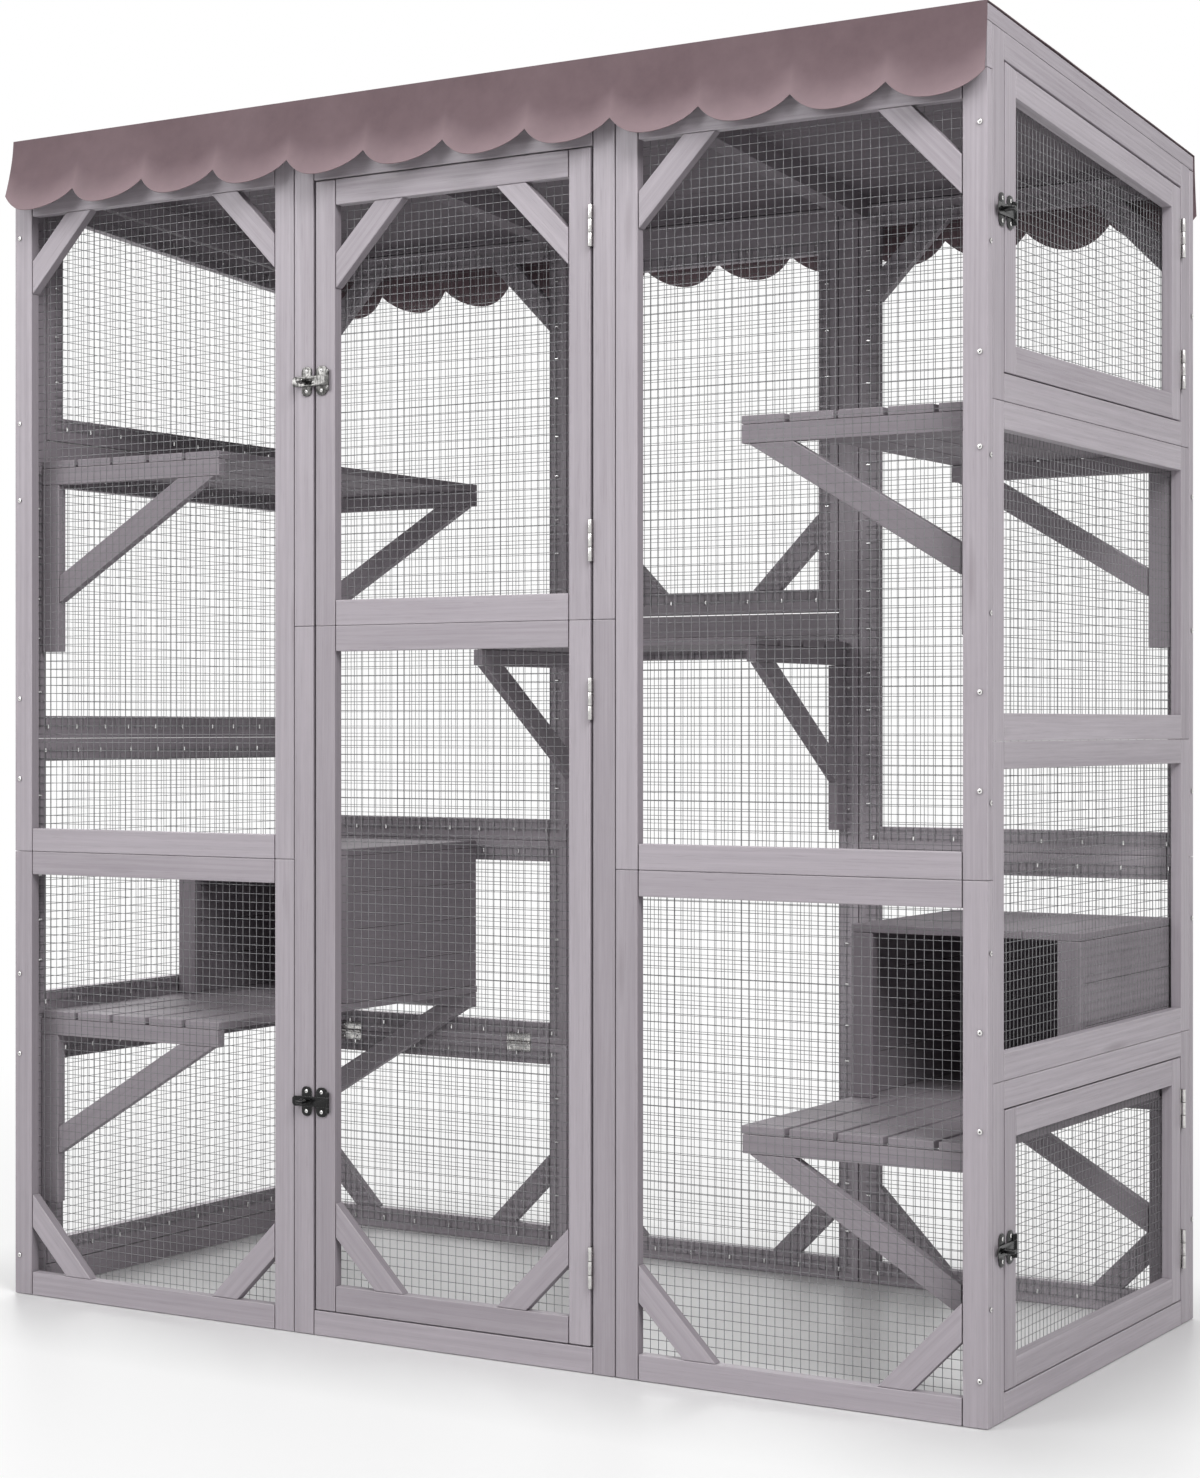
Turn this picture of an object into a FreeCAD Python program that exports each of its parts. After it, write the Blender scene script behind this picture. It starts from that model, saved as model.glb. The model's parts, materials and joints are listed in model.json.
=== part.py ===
import FreeCAD, Part
import os
import re
import Sketcher
from FreeCAD import Placement, Rotation, Vector

# Walk-in cat enclosure, millimetres, +Z up, front towards -Y, standing on z = 0

doc = FreeCAD.newDocument("cat_enclosure")
sheet = doc.addObject("Spreadsheet::Sheet", "sheet")
sizes = {
    "bay": 548,          # width of each of the three front bays
    "depth": 774,        # front face to back face
    "rail": 36,          # face width of the timber
    "stock": 18,         # thickness of the timber
    "waist": 692,        # top of the lower front panels
    "door_split": 1033,  # height where the two front leaves meet
    "panel_top": 1718,   # top of the front and back panels
    "roof_fall": 60,     # front beam height, which the roof falls to the back
    "roof_edge": 22,     # height of the strips round the roof
    "board": 12,         # planks, slats and roof boards
    "top_tier": 416,     # height of the top side tier at the back, over three equal ones
    "gap": 3,            # running gap round each leaf
    "brace_leg": 70,     # corner to the near edge of a brace
    "wire": 1.2,         # thickness of the wire mesh
    "lap": 12,           # mesh lying behind the timber
    "shelf_width": 356,
    "shelf_inset": 40,   # front face of the enclosure to the end of a shelf
    "shelf_length": 704,
    "slat_gap": 6,
    "side_clear": 2,     # slats and houses to the mesh beside them
    "strut_end": 8,      # end of an arm to the strut under it
    "arm": 26,           # height of a bracket arm
    "leg": 262,          # length of a bracket leg
    "strut_rise": 185,
    "strut_face": 42,
    "upper_shelf": 1304,
    "left_platform": 440,
    "right_platform": 352,
    "back_shelf": 1022,
    "back_reach": 311,
    "house_depth": 374,
    "house_height": 250,
    "drop": 110,         # valance, fold to its lowest point
    "scallop": 28,
    "flare": 22,
    "cloth": 1.6,
    "front_inset": 107,  # end of a front leaf to the middle of its hinge
    "side_inset": 74,
    "hinge_length": 58,
    "knuckle": 3,
    "pin": 1.5,
    "leaf_depth": 15,
    "leaf_plate": 1.2,
    "run": 0.3,          # knuckle to timber
    "play": 0.06,        # running fit round a pin
    "hasp_height": 43,
    "hasp_near": 4,      # gap to either plate of a hasp
    "hasp_reach": 26.4,  # gap to the pin of the strap
    "hasp_axis": 3,      # height of that pin over the face
    "hasp_pin": 1.1,
    "ear": 2.2,
    "ear_length": 7.6,
    "jamb_width": 18,
    "strap_end": 36,
    "strap_height": 15,
    "strap_plate": 1.2,
    "slot_length": 21,
    "slot_width": 6,
    "stem": 2.4,
    "wing_foot": 6,      # face to the underside of the knob's wing
    "wing_length": 12,
    "wing_height": 4.8,
    "knob_out": 20,
    "front_upper_latch": 355.5,  # foot of each leaf to its hasp
    "front_lower_latch": 301,
    "side_upper_latch": 204,
    "side_lower_latch": 181,
    "fold_inset": 72,    # bay to the end of a fold hinge
    "fold_length": 48,
    "fold_leaf": 15.6,
    "fold_knuckle": 2.2,
}
for row, (name, value) in enumerate(sizes.items(), start=1):
    sheet.set("A%d" % row, name)
    sheet.set("B%d" % row, str(value))
    sheet.setAlias("B%d" % row, name)
doc.recompute()

half = "bay * 1.5"
front = "-depth / 2"
inner = "depth / 2 - stock"          # inner face of the back wall
head = "panel_top - rail"            # underside of the top rails
side_end = "depth / 2 - stock"       # end of a side wall, front or back
sides = 12                           # faces round a knuckle or pin
turns = {
    "front": Rotation(),
    "right": Rotation(Vector(0, 0, 1), 90),
    "left": Rotation(Vector(1, 1, 0), 180),
}


def bound(text):
    return re.sub(r"[a-z][a-z_]*", lambda word: "sheet." + word.group(), text)


def number(text):
    return float(sheet.evalExpression(bound(text)))


def bind(item, **texts):
    for key, text in texts.items():
        item.setExpression(key.replace("__", "."), bound(text))


def place(item, x, y, z):
    bind(item, Placement__Base__x=x, Placement__Base__y=y, Placement__Base__z=z)
    return item


def block(x, y, z, dx, dy, dz):
    item = doc.addObject("Part::Box", "block")
    bind(item, Length=dx, Width=dy, Height=dz)
    return place(item, x, y, z)


# a knuckle, pin or bore with few faces, as there are so many
def rod(x, y, z, radius, height, turn=Rotation()):
    item = doc.addObject("Part::Prism", "rod")
    item.Polygon = sides
    item.Placement = Placement(Vector(), turn)
    bind(item, Circumradius=radius, Height=height)
    return place(item, x, y, z)


def tier(count):
    return "(panel_top - top_tier) * %d / 3" % count


# u runs along a wall, v outwards from its outer face
def timber(wall, u, v, z, du, dv, dz):
    if wall == "front":
        return block(u, "-depth / 2 - (%s) - (%s)" % (v, dv), z, du, dv, dz)
    if wall == "back":
        return block("-(%s) - (%s)" % (u, du), "depth / 2 + (%s)" % v, z, du, dv, dz)
    if wall == "right":
        return block("bay * 1.5 + (%s)" % v, u, z, dv, du, dz)
    return block("-bay * 1.5 - (%s) - (%s)" % (v, dv), u, z, dv, du, dz)


# a flat outline pushed out along X or Y
def prism(axis, points, start, length):
    sketch = doc.addObject("Sketcher::SketchObject", "outline")
    spots = [(number(a), number(b)) for a, b in points]
    count = len(spots)
    for i in range(count):
        ahead = spots[(i + 1) % count]
        sketch.addGeometry(Part.LineSegment(Vector(*spots[i], 0), Vector(*ahead, 0)))
    for i in range(count):
        sketch.addConstraint(Sketcher.Constraint("Coincident", i, 2, (i + 1) % count, 1))
    for i in range(count):
        for way, text, value in zip(("DistanceX", "DistanceY"), points[i], spots[i]):
            spot = sketch.addConstraint(Sketcher.Constraint(way, -1, 1, i, 1, value))
            sketch.setExpression("Constraints[%d]" % spot, bound(text))
    push = doc.addObject("Part::Extrusion", "prism")
    push.Base = sketch
    push.DirMode = "Custom"
    push.Solid = True
    if axis == "x":
        sketch.Placement = Placement(Vector(), Rotation(Vector(1, 1, 1), 120))
        push.Dir = Vector(1, 0, 0)
        bind(sketch, Placement__Base__x=start)
    else:
        sketch.Placement = Placement(Vector(), Rotation(Vector(1, 0, 0), 90))
        push.Dir = Vector(0, 1, 0)
        bind(sketch, Placement__Base__y=start)
    bind(push, LengthFwd=length)
    return push


def plate(wall, points):
    if wall == "front":
        return prism("y", points, front, "stock")
    if wall == "back":
        return prism("y", [("-(%s)" % u, z) for u, z in points], inner, "stock")
    if wall == "right":
        return prism("x", points, half + " - stock", "stock")
    return prism("x", points, "-" + half, "stock")


def brace(wall, u, z, along, up):
    far = "(brace_leg + rail * 1.414)"
    points = []
    for a, b in (("0", "brace_leg"), ("0", far), (far, "0"), ("brace_leg", "0")):
        points.append(("(%s) %s %s" % (u, along, a), "(%s) %s %s" % (z, up, b)))
    return plate(wall, points)


def frame(wall, u0, u1, z0, z1, braces=()):
    tall = "(%s) - (%s)" % (z1, z0)
    wide = "(%s) - (%s) - rail * 2" % (u1, u0)
    left = "(%s) + rail" % u0
    right = "(%s) - rail" % u1
    low = "(%s) + rail" % z0
    high = "(%s) - rail" % z1
    parts = [
        timber(wall, u0, "-stock", z0, "rail", "stock", tall),
        timber(wall, right, "-stock", z0, "rail", "stock", tall),
        timber(wall, left, "-stock", z0, wide, "stock", "rail"),
        timber(wall, left, "-stock", high, wide, "stock", "rail"),
    ]
    if "top" in braces:
        parts += [brace(wall, left, high, "+", "-"), brace(wall, right, high, "-", "-")]
    if "bottom" in braces:
        parts += [brace(wall, left, low, "+", "+"), brace(wall, right, low, "-", "+")]
    return parts


# underside of the roof at a depth y, and the same line lowered
def roof(y, rise="0"):
    return "panel_top + roof_fall * (0.5 - (%s) / depth) + (%s)" % (y, rise)


def sloped(wall, u0, u1, z0, rise):
    return plate(wall, [(u0, z0), (u1, z0), (u1, roof(u1, rise)), (u0, roof(u0, rise))])


# a frame whose top follows the roof
def sloped_frame(wall, u0, u1, z0, rise):
    left = "(%s) + rail" % u0
    right = "(%s) - rail" % u1
    low = "(%s) - rail" % rise
    wide = "(%s) - (%s) - rail * 2" % (u1, u0)
    top = [(left, roof(left, low)), (right, roof(right, low))]
    top += [(right, roof(right, rise)), (left, roof(left, rise))]
    return [
        sloped(wall, u0, left, z0, rise),
        sloped(wall, right, u1, z0, rise),
        timber(wall, left, "-stock", z0, wide, "stock", "rail"),
        plate(wall, top),
    ]


# the wire mesh behind an opening, a plain sheet lapping the timber
def opening(wall, u0, u1, z0, z1):
    reach = "rail - lap"
    wide = "(%s) - (%s) - (%s) * 2" % (u1, u0, reach)
    tall = "(%s) - (%s) - (%s) * 2" % (z1, z0, reach)
    u, z = "(%s) + %s" % (u0, reach), "(%s) + %s" % (z0, reach)
    return timber(wall, u, "-stock - wire", z, wide, "wire", tall)


# the same on a side wall, its top following the roof
def sloped_opening(wall, u0, u1, z0, rise):
    reach = "rail - lap"
    left, right = "(%s) + %s" % (u0, reach), "(%s) - (%s)" % (u1, reach)
    low, sink = "(%s) + %s" % (z0, reach), "(%s) - (%s)" % (rise, reach)
    points = [(left, low), (right, low), (right, roof(right, sink)), (left, roof(left, sink))]
    start = half + " - stock - wire" if wall == "right" else "-bay * 1.5 + stock"
    return prism("x", points, start, "wire")


def fuse(*items):
    item = doc.addObject("Part::MultiFuse", "joined")
    item.Shapes = list(items)
    item.Refine = True
    return item


def cut(base, tool):
    item = doc.addObject("Part::Cut", "bored")
    item.Base = base
    item.Tool = tool
    return item


nodes = []


def node(label, parts):
    if len(parts) > 1:
        item = doc.addObject("Part::Compound", label)
        item.Links = parts
    else:
        item = parts[0]
    item.Label = label
    nodes.append(item)


def copies(master, wall, x, y, z):
    item = doc.addObject("App::Link", "copy")
    item.LinkedObject = master
    item.LinkTransform = True
    item.Placement = Placement(Vector(), turns[wall])
    return place(item, x, y, z)


# Front wall: fixed panels either side of the doorway
post = "bay / 2 - rail"
bays = {"left": ("-" + half, "-bay / 2"), "right": ("bay / 2", half)}
front_nets = []
for name, (u0, u1) in bays.items():
    upper = frame("front", u0, u1, "waist", "panel_top", ("top",))
    lower = frame("front", u0, u1, "0", "waist", ("bottom",))
    node("front_%s_upper_frame" % name, upper)
    node("front_%s_lower_frame" % name, lower)
    front_nets.append(opening("front", u0, u1, "waist", "panel_top"))
    front_nets.append(opening("front", u0, u1, "0", "waist"))
node("front_wall_mesh", front_nets)

door_posts = []
for u in ("-bay / 2", post):
    rest = "panel_top - door_split"
    door_posts.append(timber("front", u, "-stock", "0", "rail", "stock", "door_split"))
    door_posts.append(timber("front", u, "-stock", "door_split", "rail", "stock", rest))
for z in ("0", head):
    door_posts.append(timber("front", "-bay / 2 + rail", "-stock", z, "bay - rail * 2", "stock", "rail"))
node("front_door_frame", door_posts)

# Side walls: four tiers, the top and bottom ones framing a small door
side_leaf = "depth / 2 - stock - rail - gap"
for wall in ("right", "left"):
    u0, u1 = "-depth / 2 + stock", side_end
    parts = []
    for level in range(3):
        parts += frame(wall, u0, u1, tier(level), tier(level + 1))
    parts += sloped_frame(wall, u0, u1, tier(3), "0")
    node("%s_wall_frame" % wall, parts)
    nets = [opening(wall, u0, u1, tier(level), tier(level + 1)) for level in (1, 2)]
    node("%s_wall_mesh" % wall, nets)

# Back wall, u runs from right to left as seen from the front
back_nets = []


def back_panel(u0, u1, z0, z1, braces=()):
    back_nets.append(opening("back", u0, u1, z0, z1))
    return frame("back", u0, u1, z0, z1, braces)


parts = back_panel("bay / 2", half, "waist", "panel_top", ("top",))
parts += back_panel("bay / 2", half, "waist / 2", "waist")
parts += back_panel("bay / 2", half, "0", "waist / 2", ("bottom",))
node("back_left_frame", parts)
parts = back_panel("-bay / 2", "bay / 2", "0", "door_split", ("bottom",))
parts += frame("back", "-bay / 2", "bay / 2", "door_split", "panel_top")
node("back_middle_frame", parts)
sill = "door_split + rail + gap"
node("back_window_frame", back_panel("-bay / 2 + rail", post, sill, head, ("bottom",)))
parts = back_panel("-" + half, "-bay / 2", "waist", "panel_top", ("top",))
parts += back_panel("-" + half, "-bay / 2", "0", "waist", ("bottom",))
node("back_right_frame", parts)
node("back_wall_mesh", back_nets)

# Roof: beam, edge strips and rafters, boards between them
rim = "roof_edge"
under = "roof_edge - board"


def pitched(x, length, y0, y1, low, high):
    points = [(y0, roof(y0, low)), (y1, roof(y1, low)), (y1, roof(y1, high)), (y0, roof(y0, high))]
    return prism("x", points, x, length)


beam = [(front, "panel_top"), (front + " + stock", "panel_top")]
beam += [(front + " + stock", roof(front + " + stock")), (front, roof(front))]
parts = [prism("x", beam, "-" + half, "bay * 3")]
parts.append(pitched("-" + half, "stock", front, "depth / 2", "0", rim))
parts.append(pitched(half + " - stock", "stock", front, "depth / 2", "0", rim))
wide = "bay * 3 - stock * 2"
parts.append(pitched("-" + half + " + stock", wide, front, front + " + stock", "0", rim))
parts.append(pitched("-" + half + " + stock", wide, inner, "depth / 2", "0", rim))
for x in ("-bay / 2 - rail / 2", "bay / 2 - rail / 2"):
    parts.append(pitched(x, "rail", front + " + stock", inner, under + " - rail", under))
node("roof_frame", parts)
parts = []
for i in range(6):
    y0 = "-depth / 2 + stock + (depth - stock * 2) * %d / 6" % i
    y1 = "-depth / 2 + stock + (depth - stock * 2) * %d / 6" % (i + 1)
    parts.append(pitched("-" + half + " + stock", wide, y0, y1, under, rim))
node("roof_boards", parts)

# Fabric cover: a sheet folded over both eaves, its hanging ends flared and scalloped
eaves = {"front": roof(front, rim), "back": roof("depth / 2", rim)}
cloth = [("-depth / 2 - flare", eaves["front"] + " - drop"), ("-depth / 2", eaves["front"])]
cloth += [("depth / 2", eaves["back"]), ("depth / 2 + flare", eaves["back"] + " - drop")]
cloth += [("depth / 2 + flare + cloth", eaves["back"] + " - drop")]
cloth += [("depth / 2 + cloth", eaves["back"] + " + cloth")]
cloth += [("-depth / 2 - cloth", eaves["front"] + " + cloth")]
cloth += [("-depth / 2 - flare - cloth", eaves["front"] + " - drop")]
cover = prism("x", cloth, "-" + half, "bay * 3")
lobes = 12
for name, y in (("front", "-depth / 2 - flare * 2"), ("back", "depth / 2")):
    low = number(eaves[name] + " - drop")
    notch = low + number("scallop")
    pitch = number("bay * 3") / lobes
    left = -number(half)
    edges = []
    for i in range(lobes):
        start = Vector(left + pitch * i, 0, notch)
        middle = Vector(left + pitch * (i + 0.5), 0, low)
        end = Vector(left + pitch * (i + 1), 0, notch)
        edges.append(Part.Arc(start, middle, end).toShape())
    below = low - number("drop") / 4
    corners = [end, Vector(-left, 0, below), Vector(left, 0, below), Vector(left, 0, notch)]
    for a, b in zip(corners, corners[1:]):
        edges.append(Part.makeLine(a, b))
    tool = doc.addObject("Part::Feature", "scallops")
    tool.Shape = Part.Face(Part.Wire(edges)).extrude(Vector(0, number("flare * 2"), 0))
    tool.Placement = Placement(Vector(0, number(y), 0), Rotation())
    cover = cut(cover, tool)
node("roof_cover", [cover])

# Shelves and platforms on the side walls: slats on two bracketed arms
ends = ("-depth / 2 + shelf_inset", "-depth / 2 + shelf_inset + shelf_length - stock")
slats = 5
slat = "(shelf_width - side_clear - slat_gap * %d) / %d" % (slats - 1, slats)


def wall_shelf(wall, level, seat):
    arm_top = "%s - board" % level
    arm_low = "%s - board - arm" % level
    away = "-stock - (%s)" % seat
    parts = []
    for i in range(slats):
        v = "-stock - wire - side_clear - %s * %d - slat_gap * %d" % (slat, i + 1, i)
        parts.append(timber(wall, ends[0], v, arm_top, "shelf_length", slat, "board"))
    sign = "" if wall == "right" else "-"
    for u in ends:
        reach = away + " - shelf_width"
        parts.append(timber(wall, u, reach, arm_low, "stock", "shelf_width", "arm"))
        foot = arm_low + " - leg"
        parts.append(timber(wall, u, away + " - rail", foot, "stock", "rail", "leg"))
        near = sign + "(bay * 1.5 - stock - (%s) - rail)" % seat
        far = sign + "(bay * 1.5 - stock - (%s) - shelf_width + strut_end)" % seat
        back = "strut_face * (shelf_width - rail - strut_end) / strut_rise"
        far_in = sign + "(bay * 1.5 - stock - (%s) - shelf_width + strut_end + %s)" % (seat, back)
        low = arm_low + " - strut_rise"
        points = [(near, low), (far, arm_low), (far_in, arm_low), (near, low + " + strut_face")]
        parts.append(prism("y", points, u, "stock"))
    return parts


node("upper_left_shelf", wall_shelf("left", "upper_shelf", "wire"))
node("upper_right_shelf", wall_shelf("right", "upper_shelf", "wire"))
node("left_platform", wall_shelf("left", "left_platform", "0"))
node("right_platform", wall_shelf("right", "right_platform", "0"))

# Shelf on the middle of the back wall
arm_low = "back_shelf - board - arm"
wall_y = inner + " - wire"
slat = "(back_reach - slat_gap * 3) / 4"
parts = []
for i in range(4):
    y = wall_y + " - back_reach + (%s + slat_gap) * %d" % (slat, i)
    parts.append(block("-bay / 2 + stock", y, "back_shelf - board", "bay - stock * 2", slat, "board"))
for x in ("-bay / 2 + stock", "bay / 2 - stock * 2"):
    parts.append(block(x, wall_y + " - back_reach", arm_low, "stock", "back_reach", "arm"))
    parts.append(block(x, wall_y + " - rail", arm_low + " - leg", "stock", "rail", "leg"))
    near = wall_y + " - rail"
    far = wall_y + " - back_reach + strut_end"
    far_in = far + " + strut_face * (back_reach - rail - strut_end) / strut_rise"
    low = arm_low + " - strut_rise"
    points = [(near, low), (far, arm_low), (far_in, arm_low), (near, low + " + strut_face")]
    parts.append(prism("x", points, x, "stock"))
node("back_shelf", parts)

# Houses on the platforms: posts, plank walls and roof boards, open at the front
planks = 4


def house(wall, floor):
    outer = "-stock - wire - side_clear"
    wide = "(shelf_width - side_clear * 2)"
    u = "-depth / 2 + shelf_inset + shelf_length - house_depth"
    tall = "(house_height - board)"
    parts = []
    for v in (outer + " - rail", outer + " - " + wide):
        parts.append(timber(wall, u, v, floor, "stock", "rail", tall))
    for i in range(planks):
        z = "%s + %s * %d / %d" % (floor, tall, i, planks)
        high = "%s / %d" % (tall, planks)
        for v in (outer + " - board", outer + " - " + wide):
            parts.append(timber(wall, u + " + stock", v, z, "house_depth - stock", "board", high))
        v = outer + " - " + wide + " + board"
        end = u + " + house_depth - board"
        parts.append(timber(wall, end, v, z, "board", wide + " - board * 2", high))
    for i in range(4):
        v = outer + " - %s * %d / 4" % (wide, i + 1)
        top = "%s + %s" % (floor, tall)
        parts.append(timber(wall, u, v, top, "house_depth", wide + " / 4", "board"))
    return parts


node("left_house", house("left", "left_platform"))
node("right_house", house("right", "right_platform"))

# Hinge: two leaves with interleaved knuckles on one pin, drawn about its axis,
# the wall towards +Y and the jamb towards +X
third = "hinge_length / 3"
ring_z = ("-hinge_length / 2", "hinge_length / 6")
skin = "knuckle + run"
bored = "(pin + play) / 0.9659"      # the flats of a bore with twelve faces clear the pin
fixed = [block("gap / 2 - leaf_plate", skin, ring_z[0], "leaf_plate", "leaf_depth", "hinge_length")]
for z in ring_z:
    fixed.append(block("gap / 2 - leaf_plate", "0", z, "leaf_plate", skin + " + 1", third))
    fixed.append(rod("0", "0", z, "knuckle", third))
fixed_leaf = cut(fuse(*fixed), rod("0", "0", "-hinge_length", "pin", "hinge_length * 2"))
middle = "-hinge_length / 6 + run"
short = third + " - run * 2"
moving = [block("-gap / 2", skin, ring_z[0], "leaf_plate", "leaf_depth", "hinge_length")]
moving.append(block("-gap / 2", "0", middle, "leaf_plate", skin + " + 1", short))
moving.append(rod("0", "0", middle, "knuckle", short))
moving_leaf = cut(fuse(*moving), rod("0", "0", "-hinge_length", bored, "hinge_length * 2"))
hinge_pin = rod("0", "0", ring_z[0], "pin", "hinge_length")

# Hasp: base plate with its ears and pin, slotted strap, jamb plate and twist knob, drawn
# about the gap, the door towards +X
axis_y = "-hasp_axis"
plate_low = "-hasp_height / 2"
ear_z = ("-strap_height / 2 - run - ear_length", "strap_height / 2 + run")
tab = "hasp_axis * 0.8"
base_wide = "hasp_reach - ear - hasp_near"
base = [block("hasp_near", "-leaf_plate", plate_low, base_wide, "leaf_plate", "hasp_height")]
for z in ear_z:
    base.append(block("hasp_reach - ear * 2", "-" + tab, z, "ear * 2", tab, "ear_length"))
    base.append(rod("hasp_reach", axis_y, z, "ear", "ear_length"))
base.append(rod("hasp_reach", axis_y, ear_z[0], "hasp_pin", "strap_height + ear_length * 2"))
hasp_base = fuse(*base)
strap_y = "-hasp_axis - strap_plate / 2"
long = "strap_end + hasp_reach"
strap = [block("-strap_end", strap_y, "-strap_height / 2", long, "strap_plate", "strap_height")]
strap.append(rod("hasp_reach", axis_y, "-strap_height / 2", "ear", "strap_height"))
bore = rod("hasp_reach", axis_y, "-strap_height", "(hasp_pin + play) / 0.9659", "strap_height * 2")
slot_x = "-hasp_near - slot_length"
slot = block(slot_x, "-hasp_axis * 2", "-slot_width / 2", "slot_length", "hasp_axis * 2", "slot_width")
hasp_strap = cut(fuse(*strap), fuse(bore, slot))
jamb_x = "-hasp_near - jamb_width"
jamb_plate = block(jamb_x, "-leaf_plate", plate_low, "jamb_width", "leaf_plate", "hasp_height")
knob_x = "-hasp_near - slot_length / 2"
sideways = Rotation(Vector(1, 0, 0), 90)
stem = rod(knob_x, "-leaf_plate", "0", "stem", "wing_foot - leaf_plate + 1", sideways)
wing_x = knob_x + " - wing_length / 2"
wing = block(wing_x, "-knob_out", "-wing_height / 2", "wing_length", "knob_out - wing_foot", "wing_height")
twist_knob = fuse(stem, wing)

# Doors: leaf, mesh, fittings, strap and knob, with the jamb's share kept for the root
leaf_split = "door_split - gap / 2"
leaf_rise = "door_split + gap / 2"
leaf_u = ("-bay / 2 + rail + gap", "bay / 2 - rail - gap")
side_u = ("-(%s)" % side_leaf, side_leaf)
doors = [
    ("front_upper", "front", leaf_u, leaf_rise, head + " - gap", ("top",), "front_upper_latch"),
    ("front_lower", "front", leaf_u, "rail + gap", leaf_split, ("bottom",), "front_lower_latch"),
]
for wall in ("right", "left"):
    foot = tier(3) + " + rail + gap"
    doors.append((wall + "_upper", wall, side_u, foot, None, (), "side_upper_latch"))
    head_low = tier(1) + " - rail - gap"
    doors.append((wall + "_lower", wall, side_u, "rail + gap", head_low, (), "side_lower_latch"))
leaves, pins, plates = [], [], []
for name, wall, (u0, u1), z0, z1, braces, latch in doors:
    sink = "-rail - gap"
    if z1:
        parts = frame(wall, u0, u1, z0, z1, braces)
        mesh = opening(wall, u0, u1, z0, z1)
        hinge_top = z1
    else:
        parts = sloped_frame(wall, u0, u1, z0, sink)
        mesh = sloped_opening(wall, u0, u1, z0, sink)
        hinge_top = roof(u1, sink)
    node(name + "_door", parts)
    node(name + "_mesh", [mesh])
    inset = "front_inset" if wall == "front" else "side_inset"
    line = "(%s) + gap / 2" % u1
    edge = "(%s) - gap / 2" % u0
    if wall == "front":
        hinge_at, latch_at = (line, front + " - knuckle - run"), (edge, front)
    elif wall == "right":
        hinge_at, latch_at = (half + " + knuckle + run", line), (half, edge)
    else:
        hinge_at, latch_at = ("-bay * 1.5 - knuckle - run", line), ("-" + half, edge)
    fittings = []
    for z in ("(%s) + %s" % (z0, inset), "%s - %s" % (hinge_top, inset)):
        fittings.append(copies(moving_leaf, wall, *hinge_at, z))
        leaves.append(copies(fixed_leaf, wall, *hinge_at, z))
        pins.append(copies(hinge_pin, wall, *hinge_at, z))
    spot = (wall, *latch_at, "(%s) + %s" % (z0, latch))
    fittings.append(copies(hasp_base, *spot))
    node(name + "_fittings", fittings)
    node(name + "_strap", [copies(hasp_strap, *spot)])
    node(name + "_knob", [copies(twist_knob, *spot)])
    plates.append(copies(jamb_plate, *spot))
node("door_hinge_leaves", leaves)
node("door_hinge_pins", pins)
node("latch_plates", plates)

# Small butt hinges across the two half-height back frames, on their inner faces
parts = []
lying = Rotation(Vector(0, 1, 0), 90)
third = "fold_length / 3"
for x in ("-bay * 1.5 + fold_inset", "-bay / 2 - fold_inset - fold_length"):
    y = inner + " - leaf_plate"
    knuckle_y = inner + " - fold_knuckle - run"
    low = [block(x, y, "waist / 2 - run - fold_leaf", "fold_length", "leaf_plate", "fold_leaf")]
    for shift in ("0", "fold_length * 2 / 3"):
        low.append(rod(x + " + " + shift, knuckle_y, "waist / 2", "fold_knuckle", third, lying))
    high = [block(x, y, "waist / 2 + run", "fold_length", "leaf_plate", "fold_leaf")]
    ring_x = x + " + fold_length / 3 + run"
    high.append(rod(ring_x, knuckle_y, "waist / 2", "fold_knuckle", third + " - run * 2", lying))
    parts += [fuse(*low), fuse(*high)]
node("back_fold_hinges", parts)

doc.recompute()
for item in doc.Objects:
    if "Invalid" in item.State or "Error" in item.State:
        raise RuntimeError("%s did not compute" % item.Label)
os.makedirs("parts", exist_ok=True)
for item in nodes:
    shape = Part.getShape(item)
    if shape.isNull() or not shape.isValid() or not shape.Solids:
        raise RuntimeError("%s has no valid solid" % item.Label)
    shape.exportStep("parts/%s.step" % item.Label)
print(len(nodes), "nodes")
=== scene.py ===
import json
import math
import random
import bpy
from mathutils import Matrix, Vector


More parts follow.
